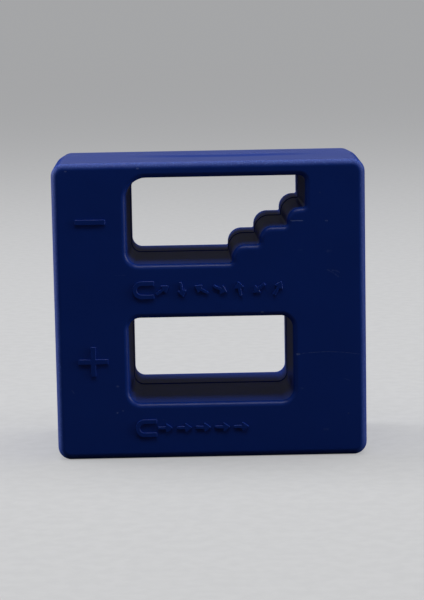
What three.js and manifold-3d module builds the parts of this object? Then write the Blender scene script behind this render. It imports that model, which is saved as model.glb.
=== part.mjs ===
// A pocket block that magnetises and demagnetises small steel tools.
//
// Two moulded half shells meet at a joint across the block's depth. Each side column beside the lower
// window holds one ferrite magnet, and the two attract each other across that window: a blade drawn
// through it comes out magnetised. The stepped window above lies in their weaker, reversed stray field,
// and its steps set how far a blade is kept from them while it is demagnetised.
//
// Millimetres. +X is to the right of the marked face, -Y is out of that face and +Z is up.
// The origin is at the middle of the base.

import * as THREE from 'three';
import { mergeVertices } from 'three/addons/utils/BufferGeometryUtils.js';
import Module from 'manifold-3d';

// The block
const bodyWidth = 52.5; // at the joint, where the block is widest
const bodyDepth = 28; // marked face to back face, without the raised marks
const bodyHeight = 50.15; // at the joint
const cornerRadius = 2.2; // the block's four corners, seen from the front
const edgeRadius = 1.2; // between the two faces and the sides
const frontDepth = 17; // marked face to the joint between the shells
const seamGap = 0.2; // shadow line between the two rims

// Moulding
const wall = 2; // base and window tubes
const outerWall = 2.25; // sides and top at the joint
const faceWall = 2; // marked and back plates
const draft = THREE.MathUtils.degToRad(0.9); // window walls narrow towards the joint
const outerDraft = THREE.MathUtils.degToRad(0.9); // sides and top lean in from the joint to each face
const throatStep = 0.12; // the rear shell's windows are this much smaller all round at the joint
const lipRadius = 0.9; // rounding around each window
const clearance = 0.3; // around what drops into a pocket or a socket

// Magnets and their pads
const magnetThickness = 7.7; // across the column, the way the magnet is magnetised
const magnetHeight = 25;
const magnetChamfer = 0.4;
const magnetCornerRadius = 0.9;
const padThickness = 2;
const padWidth = 6;
const padHeight = 16;
const padCornerRadius = 0.8;

// Heights of the bands below, between and above the windows
const bottomBand = 9.5;
const middleBand = 9;
const topBridge = 2.85;

// Windows
const plainCornerRadius = 2;
const upperLeftTopRadius = 3.4;
const upperRightTopRadius = 1;
const steppedReach = 2.3; // how far the stepped window runs past the plain one
const stepCount = 3;
const stepRise = 3;
const stepRun = 4.6;
const topTread = 3.05; // from the last riser to the window's right wall
const noseRadius = 2.2;
const rootRadius = 0.5;

// Partitions, bosses and pins inside
const partition = 1.2; // between the rooms that the inside is divided into
const roomRadius = 0.8;
const bossRadius = 2.2;
const pinRadius = 1.1;
const pinLength = 4;
const lowerBossSpacing = 18;
const upperBossDrop = 8.25; // boss centre below the top

// Raised marks
const markHeight = 0.25;
const signInset = 6.55; // centre of the plus and minus from the left side
const signLength = 5;
const signStroke = 0.85;
const pictogramInset = 0.8; // start of each row from the windows' left wall
const pictogramPitch = 3.2;
const pictogramLift = 0.2; // rows sit a little above the middle of their band
const lowerPictogramLift = 0.5;
const horseshoeWidth = 3;
const horseshoeLength = 3.6;
const horseshoeStroke = 0.75;
const arrowLength = 2.6;
const arrowStroke = 0.5;
const arrowHeadWidth = 1.7;
const arrowHeadLength = 1.2;
const alignedTurns = [0, 0, 0, 0, 0]; // every arrow the same way: magnetised
const scatteredTurns = [35, -80, 150, -25, 100, -145, 60]; // degrees, all ways: demagnetised

// Fineness of the round stretches
const arcSteps = 3; // half the number of straight sides in a quarter turn of an outline
const edgeSteps = 4;
const pinSides = 20;

// Overlaps that make joined solids one body, and how far a cutter runs past what it cuts
const bite = 0.2;
const margin = 2;
const mergeTolerance = 1e-5;

// Places that follow from the sizes
const halfWidth = bodyWidth / 2;
const frontY = (markHeight - bodyDepth) / 2;
const backY = frontY + bodyDepth;
const jointY = frontY + frontDepth;
const columnWidth = outerWall + wall + magnetThickness + 2 * clearance;
const windowHalf = halfWidth - columnWidth;
const windowHeight = (bodyHeight - bottomBand - middleBand - topBridge) / 2;
const lowerSill = bottomBand;
const lowerTop = lowerSill + windowHeight;
const upperSill = lowerTop + middleBand;
const upperTop = upperSill + windowHeight;
const upperRight = windowHalf + steppedReach;
const upperTreadZ = upperSill + stepCount * stepRise;
const magnetDepth = bodyDepth - 2 * faceWall - padThickness;
const magnetZ = wall + clearance + magnetHeight / 2;
const pocketTop = wall + 2 * clearance + magnetHeight;
const pocketSide = windowHalf + wall; // the pocket's wall nearest to the windows
const bandSide = pocketSide - partition;
const insideSide = halfWidth - outerWall;
const insideTop = bodyHeight - outerWall;
const windowZ = (lowerSill + lowerTop) / 2;
const magnetX = halfWidth - outerWall - clearance - magnetThickness / 2;
const frontInsideY = frontY + faceWall;
const backInsideY = backY - faceWall;
const signX = signInset - halfWidth;

const wasm = await Module();
wasm.setup();

// ---- Solids ----

// A closed geometry, as a solid that can be joined and cut.
function solidOf(geometry) {
  const bare = geometry.clone();
  bare.deleteAttribute('normal');
  bare.deleteAttribute('uv');
  const welded = mergeVertices(bare, mergeTolerance);
  const mesh = new wasm.Mesh({
    numProp: 3,
    vertProperties: new Float32Array(welded.attributes.position.array),
    triVerts: new Uint32Array(welded.index.array),
  });
  return new wasm.Manifold(mesh);
}

// A solid, as a geometry for a mesh.
function geometryOf(solid) {
  const { vertProperties, triVerts } = solid.getMesh();
  const geometry = new THREE.BufferGeometry();
  geometry.setAttribute('position', new THREE.BufferAttribute(vertProperties, 3));
  geometry.setIndex(new THREE.BufferAttribute(triVerts, 1));
  geometry.computeVertexNormals();
  return geometry;
}

// A shape drawn in X and Z, carried along Y between two depths. ends says how both ends are rounded
// or tapered, as bevel settings.
function prismGeometry(shape, oneY, otherY, ends = { bevelEnabled: false }) {
  const depth = Math.abs(otherY - oneY);
  const geometry = new THREE.ExtrudeGeometry(shape, { depth, curveSegments: arcSteps, ...ends });
  geometry.rotateX(Math.PI / 2);
  geometry.translate(0, Math.max(oneY, otherY), 0);
  return geometry;
}

function prism(shape, oneY, otherY, ends) {
  return solidOf(prismGeometry(shape, oneY, otherY, ends));
}

// An upright box between two corners.
function slab(left, right, oneY, otherY, bottom, top) {
  const geometry = new THREE.BoxGeometry(right - left, Math.abs(otherY - oneY), top - bottom);
  geometry.translate((left + right) / 2, (oneY + otherY) / 2, (bottom + top) / 2);
  return solidOf(geometry);
}

// A round bar along Y.
function bar(radius, x, z, oneY, otherY) {
  const geometry = new THREE.CylinderGeometry(radius, radius, Math.abs(otherY - oneY), pinSides);
  geometry.translate(x, (oneY + otherY) / 2, z);
  return solidOf(geometry);
}

// ---- Outlines: square corners, each with a radius, listed counter-clockwise ----

function corner(x, z, radius) {
  return { at: new THREE.Vector2(x, z), radius };
}

// The directions in which an outline arrives at corner i and leaves it.
function directions(corners, i) {
  const before = corners.at(i - 1).at;
  const after = corners[(i + 1) % corners.length].at;
  const here = corners[i].at;
  return { arriving: here.clone().sub(before).normalize(), leaving: after.clone().sub(here).normalize() };
}

// The outline as a shape of straight lines and quarter arcs.
function shapeOf(corners) {
  const shape = new THREE.Shape();
  corners.forEach(({ at, radius }, i) => {
    const { arriving, leaving } = directions(corners, i);
    if (radius === 0) {
      shape[i === 0 ? 'moveTo' : 'lineTo'](at.x, at.y);
      return;
    }
    const centre = at.clone().addScaledVector(arriving, -radius).addScaledVector(leaving, radius);
    const start = leaving.clone().negate().angle();
    shape.absarc(centre.x, centre.y, radius, start, arriving.angle(), arriving.cross(leaving) < 0);
  });
  shape.closePath();
  return shape;
}

function rectangle(left, right, bottom, top, radius) {
  return [
    corner(left, bottom, radius),
    corner(right, bottom, radius),
    corner(right, top, radius),
    corner(left, top, radius),
  ];
}

const blockCorners = rectangle(-halfWidth, halfWidth, 0, bodyHeight, cornerRadius);
const plainWindow = rectangle(-windowHalf, windowHalf, lowerSill, lowerTop, plainCornerRadius);
const widestNose = Math.min(stepRise, topTread) - rootRadius; // what a riser and the last tread leave
const steppedWindow = [
  corner(-windowHalf, upperSill, plainCornerRadius),
  ...stair(rootRadius, Math.min(noseRadius, widestNose)),
  corner(upperRight, upperTreadZ, rootRadius),
  corner(upperRight, upperTop, upperRightTopRadius),
  corner(-windowHalf, upperTop, upperLeftTopRadius),
];

// The risers and the treads over them, climbing to the right.
function stair(root, nose) {
  const corners = [];
  for (let step = 0; step < stepCount; step += 1) {
    const x = upperRight - topTread - (stepCount - 1 - step) * stepRun;
    const z = upperSill + step * stepRise;
    corners.push(corner(x, z, root));
    corners.push(corner(x, z + stepRise, nose));
  }
  return corners;
}

// The rooms that the inside of each half is divided into: a pocket for each magnet, the band below the
// plain window, the left column over its magnet, and one room that runs between the windows, under the
// stairs and up the right column.
const underStairs = stair(roomRadius, roomRadius).map(({ at, radius }) => {
  return corner(at.x + wall, at.y - wall, radius);
});
const rooms = [
  rectangle(-insideSide, -pocketSide, wall, pocketTop, roomRadius),
  rectangle(pocketSide, insideSide, wall, pocketTop, roomRadius),
  rectangle(-bandSide, bandSide, wall, lowerSill - wall, roomRadius),
  rectangle(-insideSide, -pocketSide, pocketTop + partition, insideTop, roomRadius),
  [
    corner(-bandSide, lowerTop + wall, roomRadius),
    corner(bandSide, lowerTop + wall, roomRadius),
    corner(bandSide, pocketTop + partition, roomRadius),
    corner(insideSide, pocketTop + partition, roomRadius),
    corner(insideSide, insideTop, roomRadius),
    corner(upperRight + wall, insideTop, roomRadius),
    corner(upperRight + wall, upperTreadZ - wall, roomRadius),
    ...underStairs.reverse(),
    corner(-bandSide, upperSill - wall, roomRadius),
  ],
];

// ---- The shells ----

// What differs between the halves: their face, their rim and how much the windows have grown or shrunk
// at the lip, against their size at the marked face.
const frontThroat = Math.tan(draft) * (frontDepth - lipRadius);
const rearThroat = frontThroat + throatStep;
const rearGrowth = Math.tan(draft) * (bodyDepth - frontDepth - lipRadius);
const frontHalf = {
  faceY: frontY,
  insideY: frontInsideY,
  rimY: jointY - seamGap / 2,
  inward: 1,
  lipOffset: 0,
  throatInset: frontThroat,
};
const rearHalf = {
  faceY: backY,
  insideY: backInsideY,
  rimY: jointY + seamGap / 2,
  inward: -1,
  lipOffset: rearGrowth - rearThroat,
  throatInset: rearThroat,
};

function roundedEnds(radius, offset) {
  return {
    bevelThickness: radius,
    bevelSize: radius,
    bevelOffset: offset - radius,
    bevelSegments: edgeSteps,
  };
}

// All the space in front of one half's face and into it, down to a depth.
function spaceDownTo(y, half) {
  const outsideY = half.faceY - half.inward * margin;
  return slab(-bodyWidth, bodyWidth, outsideY, y, -margin, bodyHeight + margin);
}

// Leans the sides and the top in, more and more from the half's rim to its face. The base stays flat.
function leanIn(geometry, half) {
  const position = geometry.attributes.position;
  for (let i = 0; i < position.count; i += 1) {
    const inset = Math.tan(outerDraft) * half.inward * (half.rimY - position.getY(i));
    position.setX(i, position.getX(i) * (1 - inset / halfWidth));
    position.setZ(i, position.getZ(i) * (1 - inset / bodyHeight));
  }
  return geometry;
}

// The block with one face's edges rounded, cut off at that half's rim.
function halfBlock(half) {
  const edgeY = half.faceY + half.inward * edgeRadius;
  const beyond = jointY + half.inward * margin;
  const block = prismGeometry(shapeOf(blockCorners), edgeY, beyond, roundedEnds(edgeRadius, 0));
  return solidOf(leanIn(block, half)).intersect(spaceDownTo(half.rimY, half));
}

// A plate larger than the block, with both windows in it and rounded lips around them.
function lippedPlate(half) {
  const plate = shapeOf(rectangle(-bodyWidth, bodyWidth, -bodyHeight, 2 * bodyHeight, 0));
  plate.holes = [shapeOf(plainWindow), shapeOf(steppedWindow)];
  const lipY = half.faceY + half.inward * lipRadius;
  const beyond = jointY + half.inward * margin;
  return prism(plate, lipY, beyond, roundedEnds(lipRadius, -half.lipOffset));
}

// The drafted hole of a window, from outside its lip to the joint.
function windowCut(window, half) {
  const lipY = half.faceY + half.inward * lipRadius;
  const outsideY = half.faceY - half.inward * margin;
  return prism(shapeOf(window), lipY, outsideY, {
    bevelThickness: Math.abs(jointY - lipY),
    bevelSize: half.lipOffset + half.throatInset,
    bevelOffset: -half.throatInset,
    bevelSegments: 1,
  });
}

// One half without its marks, bosses and pins. The lips are rounded on a thin skin at the face, and the
// windows are cut through the rest with their draft.
function openShell(half) {
  const skin = spaceDownTo(half.faceY + half.inward * lipRadius, half);
  const block = halfBlock(half);
  const cuts = [plainWindow, steppedWindow].map((window) => windowCut(window, half));
  cuts.push(...rooms.map((room) => prism(shapeOf(room), half.insideY, jointY + half.inward * margin)));
  const body = cuts.reduce((solid, cut) => solid.subtract(cut), block.subtract(skin));
  return block.intersect(skin).intersect(lippedPlate(half)).add(body);
}

// Where the locating pins stand: two in the bottom band and one in each upper column.
const bossSpots = [
  { x: -lowerBossSpacing / 2, z: lowerSill / 2 },
  { x: lowerBossSpacing / 2, z: lowerSill / 2 },
  { x: -(windowHalf + halfWidth) / 2, z: bodyHeight - upperBossDrop },
  { x: (upperRight + halfWidth) / 2, z: bodyHeight - upperBossDrop },
];

function bosses(half) {
  return bossSpots.map(({ x, z }) => bar(bossRadius, x, z, half.insideY - half.inward * bite, jointY));
}

function sockets() {
  const bottomY = jointY - pinLength - clearance;
  return bossSpots.map(({ x, z }) => bar(pinRadius + clearance / 2, x, z, bottomY, jointY + margin));
}

function pins() {
  return bossSpots.map(({ x, z }) => bar(pinRadius, x, z, jointY - pinLength, jointY + bite));
}

// ---- The raised marks ----

function mark(shape) {
  return prism(shape, frontY - markHeight, frontY + bite);
}

function stroke(x, z, length, height) {
  return mark(shapeOf(rectangle(x - length / 2, x + length / 2, z - height / 2, z + height / 2, 0)));
}

function signs() {
  const minusZ = (upperSill + upperTop) / 2;
  return [
    stroke(signX, windowZ, signLength, signStroke),
    stroke(signX, windowZ, signStroke, signLength),
    stroke(signX, minusZ, signLength, signStroke),
  ];
}

// A horseshoe magnet lying on its side, open to the right.
function horseshoe(x, z) {
  const outer = horseshoeWidth / 2;
  const inner = outer - horseshoeStroke;
  const bend = x + outer;
  const end = x + horseshoeLength;
  const shape = new THREE.Shape();
  shape.moveTo(end, z + outer);
  shape.absarc(bend, z, outer, Math.PI / 2, -Math.PI / 2, false);
  shape.lineTo(end, z - outer);
  shape.lineTo(end, z - inner);
  shape.absarc(bend, z, inner, -Math.PI / 2, Math.PI / 2, true);
  shape.lineTo(end, z + inner);
  shape.closePath();
  return mark(shape);
}

// An arrow through (x, z), turned counter-clockwise from pointing right.
function arrow(x, z, degrees) {
  const tip = arrowLength / 2;
  const neck = tip - arrowHeadLength;
  const points = [
    [-tip, -arrowStroke / 2],
    [neck, -arrowStroke / 2],
    [neck, -arrowHeadWidth / 2],
    [tip, 0],
    [neck, arrowHeadWidth / 2],
    [neck, arrowStroke / 2],
    [-tip, arrowStroke / 2],
  ];
  const turn = THREE.MathUtils.degToRad(degrees);
  const middle = new THREE.Vector2(x, z);
  const turned = points.map(([u, v]) => new THREE.Vector2(x + u, z + v).rotateAround(middle, turn));
  return mark(new THREE.Shape(turned));
}

// A row of marks: a horseshoe, then one arrow for each turn.
function pictogram(z, turns) {
  const startX = pictogramInset - windowHalf;
  const firstArrow = startX + horseshoeLength / 2 + pictogramPitch;
  return [horseshoe(startX, z), ...turns.map((turn, i) => arrow(firstArrow + i * pictogramPitch, z, turn))];
}

function marks() {
  return [
    ...signs(),
    ...pictogram((lowerTop + upperSill) / 2 + pictogramLift, scatteredTurns),
    ...pictogram(lowerSill / 2 + lowerPictogramLift, alignedTurns),
  ];
}

// ---- The pieces ----

function joined(first, others) {
  return others.reduce((solid, other) => solid.add(other), first);
}

function frontShellSolid() {
  const shell = joined(openShell(frontHalf), [...bosses(frontHalf), ...marks()]);
  return sockets().reduce((solid, socket) => solid.subtract(socket), shell);
}

function rearShellSolid() {
  return joined(openShell(rearHalf), [...bosses(rearHalf), ...pins()]);
}

// A ferrite block with its edges ground off, centred on its own origin.
function magnetSolid() {
  const side = magnetThickness / 2;
  const reach = magnetHeight / 2;
  const outline = rectangle(-side, side, -reach, reach, magnetCornerRadius);
  const straight = magnetDepth / 2 - magnetChamfer;
  return prism(shapeOf(outline), -straight, straight, {
    bevelThickness: magnetChamfer,
    bevelSize: magnetChamfer,
    bevelOffset: -magnetChamfer,
    bevelSegments: 1,
  });
}

// A foam pad, centred on its own origin.
function padSolid() {
  const outline = rectangle(-padWidth / 2, padWidth / 2, -padHeight / 2, padHeight / 2, padCornerRadius);
  return prism(shapeOf(outline), -padThickness / 2, padThickness / 2);
}

const blueShell = { color: 0x14289a, roughness: 0.38, metalness: 0 };
const darkFerrite = { color: 0x2a2b2e, roughness: 0.55, metalness: 0.3 };
const greyFoam = { color: 0x4a4a4c, roughness: 0.95, metalness: 0 };

function piece(name, solid, finish) {
  const mesh = new THREE.Mesh(geometryOf(solid), new THREE.MeshStandardMaterial(finish));
  mesh.name = name;
  return mesh;
}

// One magnet standing in its pocket, with its pad behind it.
function magnetSet(side, x) {
  const group = new THREE.Group();
  group.position.set(x, 0, magnetZ);
  const magnet = piece(`${side}_magnet`, magnetSolid(), darkFerrite);
  magnet.position.y = frontInsideY + magnetDepth / 2;
  const pad = piece(`${side}_magnet_pad`, padSolid(), greyFoam);
  pad.position.y = backInsideY - padThickness / 2;
  group.add(magnet, pad);
  return group;
}

const block = new THREE.Group();
block.add(piece('front_shell', frontShellSolid(), blueShell));
block.add(piece('rear_shell', rearShellSolid(), blueShell));
block.add(magnetSet('left', -magnetX));
block.add(magnetSet('right', magnetX));

export default block;
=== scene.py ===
# %% [markdown]
# # A block that magnetizes and demagnetizes small tools
# The real thing is a pocket-sized block of blue ABS. Two moulded half shells close over two ferrite
# magnets, one in each side column. A blade drawn through the plain window is magnetized, and one moved
# away over the steps of the other window is demagnetized.
#
# The fixed frame is loaded first. It says where every piece is, how large it is and what it rides on.
# All surfaces below are worked out to fit it, in millimetres, and are put into Blender in metres.

# %% Load the frame
import math

import bpy
import numpy as np
from mathutils import Matrix, Vector
from mathutils.geometry import delaunay_2d_cdt


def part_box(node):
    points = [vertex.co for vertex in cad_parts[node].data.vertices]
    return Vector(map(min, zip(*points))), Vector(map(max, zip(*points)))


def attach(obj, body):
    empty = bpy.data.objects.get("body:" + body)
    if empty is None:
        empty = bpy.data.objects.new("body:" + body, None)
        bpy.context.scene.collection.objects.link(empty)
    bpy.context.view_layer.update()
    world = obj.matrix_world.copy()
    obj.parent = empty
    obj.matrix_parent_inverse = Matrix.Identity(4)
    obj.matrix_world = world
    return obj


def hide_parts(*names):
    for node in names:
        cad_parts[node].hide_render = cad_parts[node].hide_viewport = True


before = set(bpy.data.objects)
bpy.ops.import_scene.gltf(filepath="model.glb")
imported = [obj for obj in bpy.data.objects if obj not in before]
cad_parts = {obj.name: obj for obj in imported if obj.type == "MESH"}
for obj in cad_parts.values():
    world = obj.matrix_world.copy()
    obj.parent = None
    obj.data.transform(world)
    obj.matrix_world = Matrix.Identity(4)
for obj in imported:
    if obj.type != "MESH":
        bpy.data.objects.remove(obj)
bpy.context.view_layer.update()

MM = 0.001
for name in sorted(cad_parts):
    low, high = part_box(name)
    print(name, "low", [round(v / MM, 2) for v in low], "high", [round(v / MM, 2) for v in high])

# %% [markdown]
# ## The camera
# The block is looked at from in front and slightly above, with a long lens, so that its sides hardly
# converge. A camera can be aimed by eye with rotation angles, but here its three axes are worked out from
# a heading, a dip and a small roll, because those are the numbers that a photographer would set on a
# tripod head.

# %% Camera
CAMERA_PLACE = np.array([-2.3, -346.4, 72.4])  # millimetres
CAMERA_HEADING = math.radians(0.45)
CAMERA_DIP = math.radians(7.81)
CAMERA_ROLL = math.radians(-1.03)
LENS = 121.0  # on a 36 mm sensor

forward = np.array([
    math.sin(CAMERA_HEADING) * math.cos(CAMERA_DIP),
    math.cos(CAMERA_HEADING) * math.cos(CAMERA_DIP),
    -math.sin(CAMERA_DIP),
])
level_right = np.array([math.cos(CAMERA_HEADING), -math.sin(CAMERA_HEADING), 0.0])
level_up = np.cross(level_right, forward)
right = math.cos(CAMERA_ROLL) * level_right + math.sin(CAMERA_ROLL) * level_up
up = -math.sin(CAMERA_ROLL) * level_right + math.cos(CAMERA_ROLL) * level_up

camera = bpy.data.objects.new("camera", bpy.data.cameras.new("camera"))
bpy.context.scene.collection.objects.link(camera)
bpy.context.scene.camera = camera
camera.data.lens = LENS
camera.data.sensor_width = 36.0
camera.data.clip_start = 0.01
camera.data.clip_end = 20.0
turned = Matrix(np.column_stack([right, up, -forward]).tolist()).to_4x4()
camera.matrix_world = Matrix.Translation(Vector(CAMERA_PLACE * MM)) @ turned
print("camera", [round(v, 4) for v in camera.location], "lens", LENS)

# %% [markdown]
# ## Outlines
# Nearly every edge of a moulding is a straight stretch or a quarter turn. So an outline here is a list of
# corners, each with a radius, and one function rounds them. It also returns the direction that points out
# of the outline at every point. Moving each point along that direction gives the same outline a little
# larger or smaller, which is all that a fillet, a draft or a rounded rim needs.

# %% Outlines from rounded corners
STRETCH = 1.2  # longest piece of a straight stretch
FACET = math.radians(7.5)  # widest piece of an arc
FEWEST = 4  # pieces in the smallest arc
TIGHT = 0.3  # millimetres; an arc up to this radius gets the fewest pieces


def unit(vectors):
    """Each row divided by its own length."""
    return vectors / np.linalg.norm(vectors, axis=1, keepdims=True)


def outline(corners, fewest=FEWEST):
    """A closed outline through rounded corners, and its outward directions, as two arrays of (x, z).

    At a corner the direction of travel turns by some angle. The arc starts radius times the tangent of half
    that angle before the corner, and its points are centre plus radius times the outward direction, which
    turns steadily. Between arcs the points are spaced evenly.
    """
    at = np.array([corner[:2] for corner in corners], float)
    radius = np.array([corner[2] for corner in corners], float)
    arriving = unit(at - np.roll(at, 1, 0))
    leaving = np.roll(arriving, -1, 0)
    turn = np.arctan2(
        arriving[:, 0] * leaving[:, 1] - arriving[:, 1] * leaving[:, 0],
        (arriving * leaving).sum(1),
    )
    reach = radius * np.tan(np.abs(turn) / 2)
    points, directions = [], []
    for i in range(len(at)):
        side = np.sign(turn[i])
        outward = math.atan2(-arriving[i, 0], arriving[i, 1])
        pieces = max(fewest, math.ceil(abs(turn[i]) / FACET)) if radius[i] > TIGHT else fewest
        angle = outward + turn[i] * np.linspace(0, 1, pieces + 1)
        around = np.stack([np.cos(angle), np.sin(angle)], 1)
        centre = at[i] - arriving[i] * reach[i] - side * radius[i] * around[0]
        points.append(centre + side * radius[i] * around)
        directions.append(around)
        j = (i + 1) % len(at)
        start = at[i] + leaving[i] * reach[i]
        end = at[j] - leaving[i] * reach[j]
        count = math.ceil(np.linalg.norm(end - start) / STRETCH)
        share = np.arange(1, count)[:, None] / max(count, 1)
        points.append(start + (end - start) * share)
        directions.append(np.repeat(around[-1:], len(share), 0))
    return np.concatenate(points), np.concatenate(directions)


def rectangle(left, right, bottom, top, radius):
    """The corners of an upright rectangle, anticlockwise."""
    return [(left, bottom, radius), (right, bottom, radius), (right, top, radius), (left, top, radius)]


def circle(x, z, radius, pieces=32):
    """A round outline: centre plus radius times the outward direction."""
    angle = 2 * math.pi * np.arange(pieces) / pieces
    around = np.stack([np.cos(angle), np.sin(angle)], 1)
    return np.array([x, z]) + radius * around, around


# %% [markdown]
# ## Profiles
# A fillet, a wall and a rim are a second, small drawing: how far out from the outline the surface is at
# each depth. A profile is a table with one row a point. It holds the distance out, the depth, the direction
# that the surface faces in that drawing, and how exposed the point is to rubbing, which the finish reads
# later. Profiles are joined end to end from arcs and straight runs.

# %% Profiles from arcs and runs
SAME_PLACE = 1e-4  # millimetres


def arc(out, depth, radius, start, end, pieces=8, hollow=False, wear=0.0):
    """Rows on a circle about (out, depth), from one angle to another in degrees.

    Zero degrees faces out, and 90 faces deeper. Each point is the centre plus radius times the angle's
    direction. A hollow arc faces its centre.
    Wear rises from nothing at both ends to its full value half way, as a sine does.
    """
    angle = np.radians(np.linspace(start, end, pieces + 1))
    facing = np.stack([np.cos(angle), np.sin(angle)], 1)
    place = np.array([out, depth]) + radius * facing
    rub = wear * np.sin(np.linspace(0, math.pi, pieces + 1))
    return np.column_stack([place, -facing if hollow else facing, rub])


def run(start, end, longest=1.5):
    """Rows on a straight line. It faces a quarter turn clockwise from the way it goes, deeper being up."""
    start, end = np.array(start, float), np.array(end, float)
    along = (end - start) / np.linalg.norm(end - start)
    pieces = max(1, math.ceil(np.linalg.norm(end - start) / longest))
    place = start + (end - start) * np.linspace(0, 1, pieces + 1)[:, None]
    facing = np.repeat([[along[1], -along[0]]], pieces + 1, 0)
    return np.column_stack([place, facing, np.zeros(pieces + 1)])


def backwards(rows):
    """A run that is gone along the other way keeps facing the same side."""
    return rows[::-1]


def profile(*parts):
    """Parts end to end, with each shared point kept once."""
    rows = np.concatenate(parts)
    fresh = np.linalg.norm(np.diff(rows[:, :2], axis=0), axis=1) > SAME_PLACE
    return rows[np.r_[True, fresh]]


# %% [markdown]
# ## Patches
# Two kinds of patch close any moulding. A band is a profile carried round an outline. A flat face is the
# area between closed loops, and triangles fill it. Blender can fill a polygon by itself, but a constrained
# Delaunay fill with a grid of points inside gives even triangles, which shade cleanly and can be bent a
# little afterwards.

# %% Bands and flat faces
GRID = 1.1  # spacing of the points inside a flat face
COARSE_GRID = 3.0  # the same on flats inside the block
CLEAR = 0.6  # share of the spacing that stays free along its edge


def ring(line, out):
    """The outline moved out by a distance, along its outward directions."""
    return line[0] + out * line[1]


def band(line, rows):
    """A profile carried round an outline: point (i, j) is outline i moved out by row j, at row j's depth.

    Returns points and directions in (x, depth, z), the four-cornered faces and the wear.
    """
    n, m = len(line[0]), len(rows)
    place = line[0][None] + rows[:, 0, None, None] * line[1][None]
    depth = np.repeat(rows[:, 1, None], n, 1)
    points = np.stack([place[..., 0], depth, place[..., 1]], -1).reshape(-1, 3)
    facing = rows[:, 2, None, None] * line[1][None]
    towards = np.repeat(rows[:, 3, None], n, 1)
    directions = np.stack([facing[..., 0], towards, facing[..., 1]], -1).reshape(-1, 3)
    j, i = np.meshgrid(np.arange(m - 1), np.arange(n), indexing="ij")
    k = (i + 1) % n
    faces = np.stack([j * n + i, j * n + k, (j + 1) * n + k, (j + 1) * n + i], -1).reshape(-1, 4)
    return points, directions, faces, np.repeat(rows[:, 4], n)


def inside(points, loops):
    """True where a point is inside: a line to its right crosses the loops an odd number of times."""
    odd = np.zeros(len(points), bool)
    for loop in loops:
        a, b = loop, np.roll(loop, -1, 0)
        spans = (a[None, :, 1] > points[:, None, 1]) != (b[None, :, 1] > points[:, None, 1])
        rise = np.where(a[:, 1] == b[:, 1], 1.0, b[:, 1] - a[:, 1])
        cross = a[None, :, 0] + (points[:, None, 1] - a[None, :, 1]) * ((b - a)[:, 0] / rise)[None]
        odd ^= (spans & (cross > points[:, None, 0])).sum(1) % 2 == 1
    return odd


def flat(loops, depth, facing, grid=GRID):
    """A flat face between closed loops, the first outside and the rest holes, facing -1 out or +1 in."""
    edge = np.concatenate(loops)
    low, high = edge.min(0), edge.max(0)
    columns = np.arange(low[0] + grid / 2, high[0], grid)
    rows = np.arange(low[1] + grid / 2, high[1], grid)
    x, z = np.meshgrid(columns, rows)
    spots = np.stack([x.ravel(), z.ravel()], 1)
    spots = spots[inside(spots, loops)]
    if len(spots):
        gap = np.min(np.linalg.norm(spots[:, None] - edge[None], axis=2), axis=1)
        spots = spots[gap > CLEAR * grid]
    place = np.concatenate([edge, spots])
    starts = np.cumsum([0] + [len(loop) for loop in loops])
    edges = np.concatenate([
        np.stack([np.arange(a, b), np.r_[np.arange(a + 1, b), a]], 1) for a, b in zip(starts[:-1], starts[1:])
    ])
    found = delaunay_2d_cdt(place.tolist(), edges.tolist(), [], 0, 1e-6, True)
    source = np.array([known[0] for known in found[3]])
    faces = source[np.array(found[2])]
    faces = faces[inside(place[faces].mean(1), loops)]
    points = np.column_stack([place[:, 0], np.full(len(place), depth), place[:, 1]])
    directions = np.repeat([[0.0, facing, 0.0]], len(place), 0)
    return points, directions, faces, np.zeros(len(place))


# %% [markdown]
# ## From patches to a mesh
# The patches of a piece share their borders exactly, so points in the same place are made one, and the
# piece is closed. Each face corner keeps the direction that its own patch faces there. Rounded edges then
# shade as smoothly as they were drawn, and true corners stay sharp, with no modifier.

# %% Build a closed mesh
def facing_out(points, directions, faces):
    """The faces, turned over if most of them look against their directions."""
    a, b, c = points[faces[:, 0]], points[faces[:, 1]], points[faces[:, 2]]
    agreement = (np.cross(b - a, c - a) * directions[faces].mean(1)).sum()
    return faces if agreement > 0 else faces[:, ::-1]


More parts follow.
